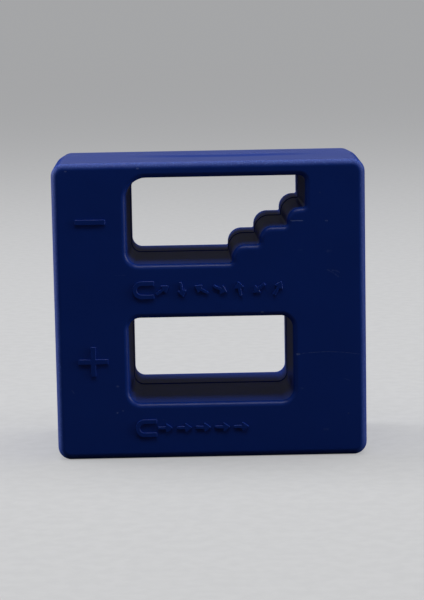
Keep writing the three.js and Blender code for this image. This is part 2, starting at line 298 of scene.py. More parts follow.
def build(name, patches, body="root"):
    """Joins patches in millimetres into one closed mesh object with its own directions.

    Each point also keeps two values for the finishes: its wear, and how far it faces up, from 0 to 1.
    """
    offsets = np.cumsum([0] + [len(p[0]) for p in patches])
    points = np.concatenate([p[0] for p in patches])
    directions = np.concatenate([p[1] for p in patches])
    wear = np.concatenate([p[3] for p in patches])
    polygons = [facing_out(*p[:3]) + start for p, start in zip(patches, offsets)]
    corners = np.concatenate([p.ravel() for p in polygons])
    sizes = np.concatenate([np.full(len(p), p.shape[1]) for p in polygons])
    keys = np.round(points / SAME_PLACE).astype(np.int64)
    _, first, shared = np.unique(keys, axis=0, return_index=True, return_inverse=True)
    shared = shared.ravel()
    mesh = bpy.data.meshes.new(name)
    mesh.vertices.add(len(first))
    mesh.loops.add(len(corners))
    mesh.polygons.add(len(sizes))
    mesh.vertices.foreach_set("co", (points[first] * MM).ravel())
    mesh.loops.foreach_set("vertex_index", shared[corners])
    mesh.polygons.foreach_set("loop_start", np.cumsum(sizes) - sizes)
    mesh.polygons.foreach_set("loop_total", sizes)
    mesh.update(calc_edges=True)
    mesh.polygons.foreach_set("use_smooth", np.ones(len(sizes), bool))
    mesh.normals_split_custom_set(unit(directions[corners]).tolist())
    worn = mesh.attributes.new("wear", "FLOAT", "POINT")
    worn.data.foreach_set("value", wear[first].astype(np.float32))
    facing_up = mesh.attributes.new("upward", "FLOAT", "POINT")
    height_share = np.clip(unit(directions[first])[:, 2], 0, 1)
    facing_up.data.foreach_set("value", height_share.astype(np.float32))
    piece = bpy.data.objects.new(name, mesh)
    bpy.context.scene.collection.objects.link(piece)
    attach(piece, body)
    used = np.zeros(len(mesh.edges), int)
    edge_of = np.zeros(len(corners), np.int32)
    mesh.loops.foreach_get("edge_index", edge_of)
    np.add.at(used, edge_of, 1)
    print(name, len(sizes), "faces,", int((used != 2).sum()), "open edges")
    return piece


# %% [markdown]
# ## Sizes
# The outer sizes come from the frame. What it doesn't say, such as walls, radii and draft, is a named size
# here, in millimetres, as a moulder's drawing would give it.

# %% Sizes
front_low, front_high = (np.array(v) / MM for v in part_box("front_shell"))
_, rear_high = (np.array(v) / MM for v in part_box("rear_shell"))
magnet_low, magnet_high = (np.array(v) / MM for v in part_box("right_magnet"))

MARK_HEIGHT = 0.25
HALF_WIDTH = front_high[0]
TOP = front_high[2]
FACE = front_low[1] + MARK_HEIGHT
BACK = rear_high[1]
JOINT = front_high[1]

CORNER_RADIUS = 2.2
EDGE_RADIUS = 1.2
LIP_RADIUS = 0.9
RIM_RADIUS = 0.12
SEAM_GAP = 0.2
WALL = 2.0
OUTER_WALL = 2.25
FACE_WALL = 2.0
PARTITION = 1.2
CLEARANCE = 0.3
DRAFT = math.radians(0.9)
OUTER_DRAFT = math.radians(0.9)
THROAT_STEP = 0.12

BOTTOM_BAND = 9.5
MIDDLE_BAND = 9.0
TOP_BRIDGE = 2.85
WINDOW_RADIUS = 2.0
UPPER_LEFT_RADIUS = 3.4
UPPER_RIGHT_RADIUS = 1.0
STEPPED_REACH = 2.3
STEP_COUNT = 3
STEP_RISE = 3.0
STEP_RUN = 4.6
TOP_TREAD = 3.05
NOSE_RADIUS = 2.2
ROOT_RADIUS = 0.5

window_half = magnet_low[0] - CLEARANCE - WALL
window_height = (TOP - BOTTOM_BAND - MIDDLE_BAND - TOP_BRIDGE) / 2
lower_sill = BOTTOM_BAND
lower_top = lower_sill + window_height
upper_sill = lower_top + MIDDLE_BAND
upper_top = upper_sill + window_height
upper_right = window_half + STEPPED_REACH
top_tread_z = upper_sill + STEP_COUNT * STEP_RISE
print("window", round(2 * window_half, 2), "by", round(window_height, 2))
print("top tread at", round(top_tread_z, 2))

# %% [markdown]
# ## The two windows and the rooms inside
# The plain window is a rounded rectangle. The stepped one climbs to the right in three steps, each with a
# soft nose and a tight root. Behind the face the block is hollow. It is divided into rooms with thin walls
# between them, as any moulding of this size is, so that no wall is thick enough to sink much as it cools.

# %% Outlines of the block, windows and rooms
def stair(root, nose, out=0.0):
    """The corners of the risers and treads, climbing to the right, and moved out from the window by out."""
    corners = []
    for step in range(STEP_COUNT):
        x = upper_right - TOP_TREAD - (STEP_COUNT - 1 - step) * STEP_RUN + out
        z = upper_sill + step * STEP_RISE - out
        corners += [(x, z, root), (x, z + STEP_RISE, nose)]
    return corners


block = outline(rectangle(-HALF_WIDTH, HALF_WIDTH, 0, TOP, CORNER_RADIUS))
plain_window = outline(rectangle(-window_half, window_half, lower_sill, lower_top, WINDOW_RADIUS))
stepped_window = outline([
    (-window_half, upper_sill, WINDOW_RADIUS),
    *stair(ROOT_RADIUS, NOSE_RADIUS),
    (upper_right, top_tread_z, ROOT_RADIUS),
    (upper_right, upper_top, UPPER_RIGHT_RADIUS),
    (-window_half, upper_top, UPPER_LEFT_RADIUS),
])
windows = [plain_window, stepped_window]

ROOM_RADIUS = 0.8
pocket_top = magnet_high[2] + CLEARANCE
pocket_side = window_half + WALL
band_side = pocket_side - PARTITION
inside_side = HALF_WIDTH - OUTER_WALL
inside_top = TOP - OUTER_WALL
room_corners = [
    rectangle(-inside_side, -pocket_side, WALL, pocket_top, ROOM_RADIUS),
    rectangle(pocket_side, inside_side, WALL, pocket_top, ROOM_RADIUS),
    rectangle(-band_side, band_side, WALL, lower_sill - WALL, ROOM_RADIUS),
    rectangle(-inside_side, -pocket_side, pocket_top + PARTITION, inside_top, ROOM_RADIUS),
    [
        (-band_side, lower_top + WALL, ROOM_RADIUS),
        (band_side, lower_top + WALL, ROOM_RADIUS),
        (band_side, pocket_top + PARTITION, ROOM_RADIUS),
        (inside_side, pocket_top + PARTITION, ROOM_RADIUS),
        (inside_side, inside_top, ROOM_RADIUS),
        (upper_right + WALL, inside_top, ROOM_RADIUS),
        (upper_right + WALL, top_tread_z - WALL, ROOM_RADIUS),
        *stair(ROOM_RADIUS, ROOM_RADIUS, WALL)[::-1],
        (-band_side, upper_sill - WALL, ROOM_RADIUS),
    ],
]
rooms = [outline(corners) for corners in room_corners]

BOSS_RADIUS = 2.2
PIN_RADIUS = 1.1
PIN_LENGTH = 4.0
BOSS_SPACING = 18.0
BOSS_DROP = 8.25
boss_spots = [
    (-BOSS_SPACING / 2, lower_sill / 2),
    (BOSS_SPACING / 2, lower_sill / 2),
    (-(window_half + HALF_WIDTH) / 2, TOP - BOSS_DROP),
    ((upper_right + HALF_WIDTH) / 2, TOP - BOSS_DROP),
]
boss_room = [2, 2, 3, 4]  # the room that each boss stands in
print(len(rooms), "rooms and", len(boss_spots), "bosses")
print(len(stepped_window[0]), "points round the stepped window")

# %% [markdown]
# ## The raised marks
# The face carries a plus beside the window that magnetizes and a minus beside the one that demagnetizes.
# Under each window is a row of small signs: a horseshoe magnet, then arrows. Arrows that all point one way
# stand for magnetized steel, and arrows that point all ways for demagnetized steel. Each mark is an outline
# like any other, only smaller, and stands a quarter of a millimetre proud.

# %% Outlines of the marks
SIGN_INSET = 6.55
SIGN_LENGTH = 5.0
SIGN_STROKE = 0.85
MARK_CORNER = 0.13
HORSESHOE_WIDTH = 3.0
HORSESHOE_LENGTH = 3.6
HORSESHOE_STROKE = 0.75
ARROW_LENGTH = 2.6
ARROW_STROKE = 0.5
ARROW_HEAD_WIDTH = 1.7
ARROW_HEAD_LENGTH = 1.2
ROW_INSET = 0.8
ROW_PITCH = 3.2
LOWER_ROW_LIFT = 0.5  # above the middle of the band that the row stands on
UPPER_ROW_LIFT = 0.2
NEARLY_HALF = 0.999  # share of half a height that leaves a stretch between two arcs
ALIGNED = [0, 0, 0, 0, 0]
SCATTERED = [35, -80, 150, -25, 100, -145, 60]

sign_x = SIGN_INSET - HALF_WIDTH


def turning(angle):
    """The matrix that turns rows of (x, z) anticlockwise by an angle."""
    return np.array([[math.cos(angle), math.sin(angle)], [-math.sin(angle), math.cos(angle)]])


def plus(x, z):
    """Two crossed strokes as one outline with twelve corners."""
    a, b = SIGN_LENGTH / 2, SIGN_STROKE / 2
    quarter = np.array([(b, -a), (b, -b), (a, -b)])
    turns = [turning(angle) for angle in np.arange(4) * math.pi / 2]
    return outline([(x + u, z + v, MARK_CORNER) for turn in turns for u, v in quarter @ turn])


def minus(x, z):
    """One level stroke."""
    a, b = SIGN_LENGTH / 2, SIGN_STROKE / 2
    return outline(rectangle(x - a, x + a, z - b, z + b, MARK_CORNER))


def horseshoe(x, z):
    """A bent bar open to the right: its bend is two corners whose radius is half the height."""
    outer, inner = HORSESHOE_WIDTH / 2, HORSESHOE_WIDTH / 2 - HORSESHOE_STROKE
    end, hollow = x + HORSESHOE_LENGTH, x + HORSESHOE_STROKE
    bend, tight = outer * NEARLY_HALF, inner * NEARLY_HALF
    return outline([
        (x, z - outer, bend), (end, z - outer, MARK_CORNER), (end, z - inner, MARK_CORNER),
        (hollow, z - inner, tight), (hollow, z + inner, tight),
        (end, z + inner, MARK_CORNER), (end, z + outer, MARK_CORNER), (x, z + outer, bend),
    ])


def arrow(x, z, degrees):
    """A straight arrow about its middle, turned anticlockwise."""
    tip, neck = ARROW_LENGTH / 2, ARROW_LENGTH / 2 - ARROW_HEAD_LENGTH
    half, head = ARROW_STROKE / 2, ARROW_HEAD_WIDTH / 2
    corners = np.array([
        (-tip, -half), (neck, -half), (neck, -head), (tip, 0), (neck, head), (neck, half), (-tip, half),
    ])
    corners = corners @ turning(math.radians(degrees))
    return outline([(x + u, z + v, MARK_CORNER) for u, v in corners])


def row_of_signs(z, turns):
    """A horseshoe and then one arrow for each turn, evenly spaced."""
    start = ROW_INSET - window_half
    first = start + HORSESHOE_LENGTH / 2 + ROW_PITCH
    return [horseshoe(start, z)] + [arrow(first + i * ROW_PITCH, z, t) for i, t in enumerate(turns)]


marks = [
    plus(sign_x, (lower_sill + lower_top) / 2),
    minus(sign_x, (upper_sill + upper_top) / 2),
    *row_of_signs((lower_top + upper_sill) / 2 + UPPER_ROW_LIFT, SCATTERED),
    *row_of_signs(lower_sill / 2 + LOWER_ROW_LIFT, ALIGNED),
]
print(len(marks), "raised marks")

# %% [markdown]
# ## One half shell
# Both halves are made by one function, in depth from their own face, and the rear half is mirrored after
# that. Each wall is a band and each flat is a face between loops. The profiles carry the moulder's details:
# round outer edges, soft window lips, walls that lean in towards the joint, and a rim with its sharpness
# taken off, so that the joint shows as a fine dark line.

# %% Profiles of a half shell
FLOOR_FILLET = 0.2
MARK_FOOT = 0.05
MARK_EDGE = 0.08
TIP_RADIUS = 0.4
HIDDEN_ROWS = 4.0  # longest step between rows on walls inside the block
BENT_ROWS = 0.6  # the same on the outside, which is bent afterwards


def pocket(rim, floor, fillet=FLOOR_FILLET):
    """Down from a rim into a room: rounded rim, wall, and a hollow fillet onto the floor."""
    return profile(
        arc(RIM_RADIUS, rim - RIM_RADIUS, RIM_RADIUS, 90, 180, 3),
        run((0, rim - RIM_RADIUS), (0, floor + fillet), HIDDEN_ROWS),
        arc(-fillet, floor + fillet, fillet, 0, -90, 4, hollow=True),
    )


def post(floor, top, foot, edge):
    """Up from a floor along a post: hollow foot, side, and a rounded top edge."""
    return profile(
        arc(foot, floor + foot, foot, -90, -180, 4, hollow=True),
        run((0, floor + foot), (0, top - edge), HIDDEN_ROWS),
        arc(-edge, top - edge, edge, 0, 90, 4),
    )


def outer_side(rim):
    """From the face round the outer edge and along the side to the rim."""
    return profile(
        arc(-EDGE_RADIUS, EDGE_RADIUS, EDGE_RADIUS, -90, 0, 12, wear=1.0),
        run((0, EDGE_RADIUS), (0, rim - RIM_RADIUS), BENT_ROWS),
        arc(-RIM_RADIUS, rim - RIM_RADIUS, RIM_RADIUS, 0, 90, 4, wear=0.4),
    )


def window_side(lip, throat, rim):
    """From the face over the lip and down the leaning wall to the rim."""
    return profile(
        arc(lip + LIP_RADIUS, LIP_RADIUS, LIP_RADIUS, -90, -180, 10, wear=0.45),
        backwards(run((throat, rim - RIM_RADIUS), (lip, LIP_RADIUS))),
        arc(throat + RIM_RADIUS, rim - RIM_RADIUS, RIM_RADIUS, 180, 90, 4, wear=0.3),
    )


def raised(height):
    """From the face up the side of a mark to its top, which is nearer than the face."""
    return profile(
        arc(MARK_FOOT, -MARK_FOOT, MARK_FOOT, 90, 180, 3, hollow=True),
        backwards(run((0, MARK_EDGE - height), (0, -MARK_FOOT))),
        arc(-MARK_EDGE, MARK_EDGE - height, MARK_EDGE, 0, -90, 4, wear=0.6),
    )


# %% [markdown]
# ## The outside isn't quite square
# A moulding must leave its mould, so the sides and the top lean in from the joint towards each face. The
# base is kept flat to stand on. The long thin wall over the upper window has also pulled in a little at the
# joint as it cooled, which shows as a shallow dip in the top. Both are made by moving the finished points of
# the outer band, and the directions are turned to suit, so the surface still shades smoothly.

# %% Draft and dip of the outside
DIP = 0.17
DIP_MIDDLE = 3.0
DIP_HALF = 14.5
DIP_REACH = 5.0


def outer_skin(points, directions, rim):
    """Moves points of the outside, given as (x, depth, z), and turns their directions to match.

    x and z are multiplied by 1 minus the inset over the block's size, where the inset is the distance from
    the rim times the slope. The top then drops by the dip's depth times (1 - u squared) squared times
    exp(-v squared), where u runs from -1 to 1 along it and v is the distance from the rim.
    """
    x, depth, z = points.T
    a, b, c = directions.T
    slope = math.tan(OUTER_DRAFT)
    inset = slope * (rim - depth)
    wide, tall = 1 - inset / HALF_WIDTH, 1 - inset / TOP
    a, c = a / wide, c / tall
    b = b - slope * (a * x / HALF_WIDTH + c * z / TOP)
    u = (x - DIP_MIDDLE) / DIP_HALF
    share = np.clip(1 - u**2, 0, 1)
    v = (rim - depth) / DIP_REACH
    fall = DIP * np.exp(-(v**2)) * (z > TOP / 2)
    drop = share**2 * fall
    drop_along = -4 * share * u / DIP_HALF * fall
    drop_deeper = 2 * v / DIP_REACH * drop
    moved = np.stack([x * wide, depth, z * tall - drop], 1)
    return moved, unit(np.stack([a + c * drop_along, b + c * drop_deeper, c], 1))


def outer_ring(out, depth, rim):
    """One loop of the outside at a depth, as flat (x, z) points."""
    points = np.insert(ring(block, out), 1, depth, axis=1)
    return outer_skin(points, np.ones_like(points), rim)[0][:, [0, 2]]


# %% [markdown]
# ## Putting a half shell together
# A moulder's tool is cut in one block: the outside, the window tubes, the rooms, the bosses with their pins
# or sockets, and the marks. It could be copied with solids that are added and cut away, but cuts leave
# ragged triangles along every fillet. Here each surface is drawn once, with its own fillet, and meets its
# neighbours on a shared loop, so nothing has to be cut.

# %% Patches of a half shell
SOCKET_DEPTH = PIN_LENGTH + CLEARANCE
socket_radius = PIN_RADIUS + CLEARANCE / 2
throat = -math.tan(DRAFT) * (JOINT - FACE - LIP_RADIUS)
rear_throat = throat - THROAT_STEP
rear_lip = rear_throat + math.tan(DRAFT) * (BACK - JOINT - LIP_RADIUS)


def half_shell(joint, lip, throat, marked):
    """All the patches of one half, in (x, depth, z), where depth is 0 at its face and grows to the joint."""
    rim = joint - SEAM_GAP / 2
    points, directions, faces, wear = band(block, outer_side(rim))
    patches = [(*outer_skin(points, directions, rim), faces, wear)]
    patches += [band(window, window_side(lip, throat, rim)) for window in windows]
    patches += [band(room, pocket(rim, FACE_WALL)) for room in rooms]
    holes = [ring(window, lip + LIP_RADIUS) for window in windows]
    if marked:
        patches += [band(mark, raised(MARK_HEIGHT)) for mark in marks]
        patches += [flat([ring(mark, -MARK_EDGE)], -MARK_HEIGHT, -1) for mark in marks]
        holes += [ring(mark, MARK_FOOT) for mark in marks]
    patches.append(flat([outer_ring(-EDGE_RADIUS, 0, rim), *holes], 0, -1))
    rim_holes = [ring(window, throat + RIM_RADIUS) for window in windows]
    rim_holes += [ring(room, RIM_RADIUS) for room in rooms]
    patches.append(flat([outer_ring(-RIM_RADIUS, rim, rim), *rim_holes], rim, 1, COARSE_GRID))
    bosses = [circle(x, z, BOSS_RADIUS) for x, z in boss_spots]
    for number, room in enumerate(rooms):
        islands = [ring(boss, FLOOR_FILLET) for boss, home in zip(bosses, boss_room) if home == number]
        patches.append(flat([ring(room, -FLOOR_FILLET), *islands], FACE_WALL, 1, COARSE_GRID))
    for boss, (x, z) in zip(bosses, boss_spots):
        patches.append(band(boss, post(FACE_WALL, joint, FLOOR_FILLET, RIM_RADIUS)))
        top = ring(boss, -RIM_RADIUS)
        if marked:
            socket = circle(x, z, socket_radius)
            bottom = joint - SOCKET_DEPTH
            patches.append(flat([top, ring(socket, RIM_RADIUS)], joint, 1, COARSE_GRID))
            patches.append(band(socket, pocket(joint, bottom, RIM_RADIUS)))
            patches.append(flat([ring(socket, -RIM_RADIUS)], bottom, 1))
        else:
            pin = circle(x, z, PIN_RADIUS)
            tip = joint + PIN_LENGTH
            patches.append(flat([top, ring(pin, RIM_RADIUS)], joint, 1, COARSE_GRID))
            patches.append(band(pin, post(joint, tip, RIM_RADIUS, TIP_RADIUS)))
            patches.append(flat([ring(pin, -TIP_RADIUS)], tip, 1))
    return patches


def placed(patches, face, inward):
    """Turns depth into y: the face plus or minus the depth, with the directions mirrored to match."""
    across = np.array([1.0, inward, 1.0])
    shift = np.array([0.0, face, 0.0])
    return [
        (points * across + shift, directions * across, faces, wear)
        for points, directions, faces, wear in patches
    ]


front_patches = placed(half_shell(JOINT - FACE, 0.0, throat, True), FACE, 1)
rear_patches = placed(half_shell(BACK - JOINT, rear_lip, rear_throat, False), BACK, -1)
print(len(front_patches), "front patches,", len(rear_patches), "rear patches")

# %% [markdown]
# ## The two mouldings
# The halves are separate pieces on the real block, so they are separate meshes here, one for each half.

# %% Make both halves
front_shell = build("front_shell_moulding", front_patches)
rear_shell = build("rear_shell_moulding", rear_patches)
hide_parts("front_shell")
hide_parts("rear_shell")

# %% [markdown]
# ## The magnets and their pads
# A ferrite magnet is pressed from powder, fired, and ground on its pole faces, so it is a plain block with
# small chamfers and slightly rounded corners. A foam pad behind it keeps it from rattling. The foam is cut
# from sheet and squeezed a little when the halves close, so its cut sides bulge between flat ends.

# %% Magnets and pads
MAGNET_CHAMFER = 0.4
MAGNET_CORNER = 0.9
CHAMFER_RADIUS = 0.12
PAD_CORNER = 0.8
PAD_EDGE = 0.35
PAD_BULGE = 0.22


def upright_block(node, corner, rows):
    """A block that fills a node's box: a profile round its rounded rectangle, with flat ends in y."""
    low, high = (np.array(v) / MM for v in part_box(node))
    line = outline(rectangle(low[0], high[0], low[2], high[2], corner))
    side = rows(high[1] - low[1])
    ends = [flat([ring(line, side[0, 0])], 0, -1), flat([ring(line, side[-1, 0])], high[1] - low[1], 1)]
    return placed([band(line, side), *ends], low[1], 1)


def magnet_side(length):
    """Out along a chamfer, along the side, and back along the other chamfer, with softened corners.

    Each corner turns by 45 degrees, so its arc starts the radius times the tangent of half that before it.
    """
    reach = CHAMFER_RADIUS * math.tan(math.radians(22.5))
    first = arc(-MAGNET_CHAMFER - reach, CHAMFER_RADIUS, CHAMFER_RADIUS, -90, -45, 4, wear=1.0)
    second = arc(-CHAMFER_RADIUS, MAGNET_CHAMFER + reach, CHAMFER_RADIUS, -45, 0, 4, wear=1.0)
    near = profile(first, second)
    far = near[::-1] * [1, -1, 1, -1, 1] + [0, length, 0, 0, 0]
    return profile(near, far)


def pad_side(length):
    """Two rounded edges with a side between them that bulges as a half sine does."""
    near = arc(-PAD_EDGE - PAD_BULGE, PAD_EDGE, PAD_EDGE, -90, -20, 6)
    depth = np.linspace(near[-1, 1], length - near[-1, 1], 9)
    share = (depth - depth[0]) / (depth[-1] - depth[0])
    rise = -near[-1, 0]
    out = near[-1, 0] + rise * np.sin(math.pi * share)
    slope = rise * math.pi * np.cos(math.pi * share) / (depth[-1] - depth[0])
    facing = unit(np.stack([np.ones(9), -slope], 1))
    middle = np.column_stack([out, depth, facing, np.zeros(9)])
    far = near[::-1] * [1, -1, 1, -1, 1] + [0, length, 0, 0, 0]
    return profile(near, middle, far)


magnets, pads = [], []
for side in ("left", "right"):
    magnet_patches = upright_block(f"{side}_magnet", MAGNET_CORNER, magnet_side)
    pad_patches = upright_block(f"{side}_magnet_pad", PAD_CORNER, pad_side)
    magnets.append(build(f"{side}_ferrite_block", magnet_patches))
    pads.append(build(f"{side}_foam_pad", pad_patches))
    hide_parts(f"{side}_magnet")
    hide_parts(f"{side}_magnet_pad")

# %% [markdown]
# ## Writing materials as code
# A material is a graph of small steps. Two short helpers keep the graphs readable: one adds a step with its
# settings and inputs, the other does one sum. An effect that several finishes share is a node group with
# named inputs and outputs. Every pattern reads Object coordinates, so it stays on the surface, and lengths
# inside the groups are millimetres.

# %% Helpers for node graphs
def step(tree, kind, inputs=None, **settings):
    """Adds one node. An input is given by name or number, as a value or as another node's output."""
    made = tree.nodes.new(kind)
    for key, value in settings.items():
        setattr(made, key, value)
    for key, value in (inputs or {}).items():
        if isinstance(value, bpy.types.NodeSocket):
            tree.links.new(value, made.inputs[key])
        else:
            made.inputs[key].default_value = value
    return made


def sum_of(tree, operation, *values, clamp=False):
    """One arithmetic step, such as MULTIPLY or SMOOTH_MIN, on values or outputs."""
    made = step(tree, "ShaderNodeMath", dict(enumerate(values)), operation=operation, use_clamp=clamp)
    return made.outputs[0]


def fade(tree, value, start, end, low=0.0, high=1.0):
    """Goes smoothly from low to high as the value goes from start to end."""
    inputs = {"Value": value, "From Min": start, "From Max": end, "To Min": low, "To Max": high}
    return step(tree, "ShaderNodeMapRange", inputs, interpolation_type="SMOOTHSTEP").outputs[0]


def blend(tree, share, first, second):
    """One colour turning into another by a share."""
    made = step(tree, "ShaderNodeMix", {0: share}, data_type="RGBA")
    for key, value in ((6, first), (7, second)):
        if isinstance(value, bpy.types.NodeSocket):
            tree.links.new(value, made.inputs[key])
        else:
            made.inputs[key].default_value = (*value, 1.0)
    return made.outputs[2]


def noise(tree, place, scale, detail=2.0, roughness=0.5):
    """Smooth random values about a half, with scale features in a millimetre."""
    inputs = {"Vector": place, "Scale": scale, "Detail": detail, "Roughness": roughness}
    return step(tree, "ShaderNodeTexNoise", inputs).outputs[0]


def millimetres(tree):
    """Where a point is on the object, in millimetres."""
    place = step(tree, "ShaderNodeTexCoord").outputs["Object"]
    return step(tree, "ShaderNodeVectorMath", {0: place, "Scale": 1 / MM}, operation="SCALE").outputs[0]


def new_finish(name):
    """A new material, with its graph and its Principled shader."""
    material = bpy.data.materials.new(name)
    material.use_nodes = True
    return material, material.node_tree, material.node_tree.nodes["Principled BSDF"]


def raise_surface(tree, shader, height):
    """Turns a height in millimetres into bump on a shader."""
    bump = step(tree, "ShaderNodeBump", {"Height": height, "Distance": MM, "Strength": 1.0})
    tree.links.new(bump.outputs[0], shader.inputs["Normal"])


def group(name, inputs, outputs):
    """A new shader group with its named sockets. Inputs are name to (kind, default), outputs are names."""
    tree = bpy.data.node_groups.new(name, "ShaderNodeTree")
    for key, (kind, default) in inputs.items():
        socket = tree.interface.new_socket(key, in_out="INPUT", socket_type=f"NodeSocket{kind}")
        socket.default_value = default
    for key in outputs:
        tree.interface.new_socket(key, in_out="OUTPUT", socket_type="NodeSocketFloat")
    return tree, tree.nodes.new("NodeGroupInput").outputs, tree.nodes.new("NodeGroupOutput").inputs


def use(tree, made, **inputs):
    """Places a group in a material. An input's name is written with underscores for spaces."""
    placed_group = step(tree, "ShaderNodeGroup", node_tree=made)
    for key, value in inputs.items():
        socket = placed_group.inputs[key.replace("_", " ")]
        if isinstance(value, bpy.types.NodeSocket):
            tree.links.new(value, socket)
        else:
            socket.default_value = value
    return placed_group.outputs


# %% [markdown]
# ## Effects that the finishes share
# Grain is the fine skin of a moulding, a fired block or a foam. Rubbed edges show where hands and the
# bottom of a drawer rub a corner, and they read the wear that each profile left on the mesh; on the blue
# plastic their colour is also a painted highlight. Dust is a few pale specks. A scratch is a line from one
# place to another that fades in and out along its length.

# %% Shared groups
grain_group, given, result = group(
    "grain",
    {
        "Features": ("Float", 5.0),
        "Height": ("Float", 0.002),
        "Wave": ("Float", 0.4),
        "Wave height": ("Float", 0.004),
    },
    ["Height", "Shade"],
)
place = millimetres(grain_group)
fine = noise(grain_group, place, given["Features"], 3.0, 0.6)
slow = noise(grain_group, place, given["Wave"], 1.0)
fine_height = sum_of(grain_group, "MULTIPLY", fine, given["Height"])
slow_height = sum_of(grain_group, "MULTIPLY", slow, given["Wave height"])
grain_group.links.new(sum_of(grain_group, "ADD", fine_height, slow_height), result["Height"])
grain_group.links.new(fade(grain_group, fine, 0.35, 0.65), result["Shade"])

edge_group, given, result = group(
    "rubbed edges", {"Amount": ("Float", 0.5), "Features": ("Float", 0.8)}, ["Mask"]
)
worn = step(edge_group, "ShaderNodeAttribute", attribute_name="wear").outputs["Fac"]
patchy = noise(edge_group, millimetres(edge_group), given["Features"], 4.0, 0.65)
reach = sum_of(edge_group, "MULTIPLY", sum_of(edge_group, "MULTIPLY", worn, patchy), given["Amount"])
edge_group.links.new(fade(edge_group, reach, 0.12, 0.5), result["Mask"])

dust_group, given, result = group(
    "dust", {"Spacing": ("Float", 2.5), "Size": ("Float", 0.12), "Share": ("Float", 0.3)}, ["Mask"]
)
place = millimetres(dust_group)
shaken = noise(dust_group, place, 6.0, 2.0)
cells = step(
    dust_group,
    "ShaderNodeTexVoronoi",
    {"Vector": place, "Scale": sum_of(dust_group, "DIVIDE", 1.0, given["Spacing"])},
)
spread = sum_of(dust_group, "MULTIPLY", cells.outputs["Distance"], given["Spacing"])
spread = sum_of(dust_group, "ADD", spread, sum_of(dust_group, "MULTIPLY", shaken, 0.1))
lot = step(dust_group, "ShaderNodeSeparateColor", {0: cells.outputs["Color"]}).outputs
chosen = sum_of(dust_group, "LESS_THAN", lot[0], given["Share"])
speck_size = sum_of(dust_group, "MULTIPLY_ADD", lot[1], given["Size"], 0.05)
past_edge = sum_of(dust_group, "SUBTRACT", spread, speck_size)
speck = sum_of(dust_group, "SUBTRACT", 1.0, fade(dust_group, past_edge, 0.0, 0.06))
dust_group.links.new(sum_of(dust_group, "MULTIPLY", speck, chosen), result["Mask"])

scratch_group, given, result = group(
    "scratch",
    {
        "Start": ("Vector", (0, 0, 0)),
        "End": ("Vector", (1, 0, 0)),
        "Width": ("Float", 0.1),
        "Bow": ("Float", 0.0),
    },
    ["Mask"],
)
place = millimetres(scratch_group)


def vector_sum(operation, first, second=None):
    """One step on vectors in the scratch group, such as SUBTRACT or LENGTH."""
    made = step(scratch_group, "ShaderNodeVectorMath", {0: first}, operation=operation)
    if isinstance(second, bpy.types.NodeSocket):
        scratch_group.links.new(second, made.inputs[1])
    return made.outputs["Value"] if operation in ("DOT_PRODUCT", "LENGTH") else made.outputs[0]


along = vector_sum("SUBTRACT", given["End"], given["Start"])
offset = vector_sum("SUBTRACT", place, given["Start"])
length_squared = vector_sum("DOT_PRODUCT", along, along)
reached = vector_sum("DOT_PRODUCT", offset, along)
share = sum_of(scratch_group, "DIVIDE", reached, length_squared, clamp=True)
nearest = step(scratch_group, "ShaderNodeVectorMath", {0: along, "Scale": share}, operation="SCALE")
across = vector_sum("SUBTRACT", offset, nearest.outputs[0])
half_turn = sum_of(scratch_group, "MULTIPLY", share, math.pi)
hump = sum_of(scratch_group, "MULTIPLY", sum_of(scratch_group, "SINE", half_turn), given["Bow"])
bowed = step(scratch_group, "ShaderNodeCombineXYZ", {"Z": hump}).outputs[0]
distance = vector_sum("LENGTH", vector_sum("SUBTRACT", across, bowed))
broken = noise(scratch_group, place, 3.0, 3.0, 0.7)
half_width = sum_of(scratch_group, "MULTIPLY", given["Width"], broken)
core = sum_of(scratch_group, "MULTIPLY", half_width, 0.4)
line = sum_of(scratch_group, "SUBTRACT", 1.0, fade(scratch_group, distance, core, half_width))
line = sum_of(scratch_group, "MULTIPLY", line, fade(scratch_group, broken, 0.35, 0.5))
scratch_group.links.new(line, result["Mask"])
print("groups:", [made.name for made in bpy.data.node_groups])
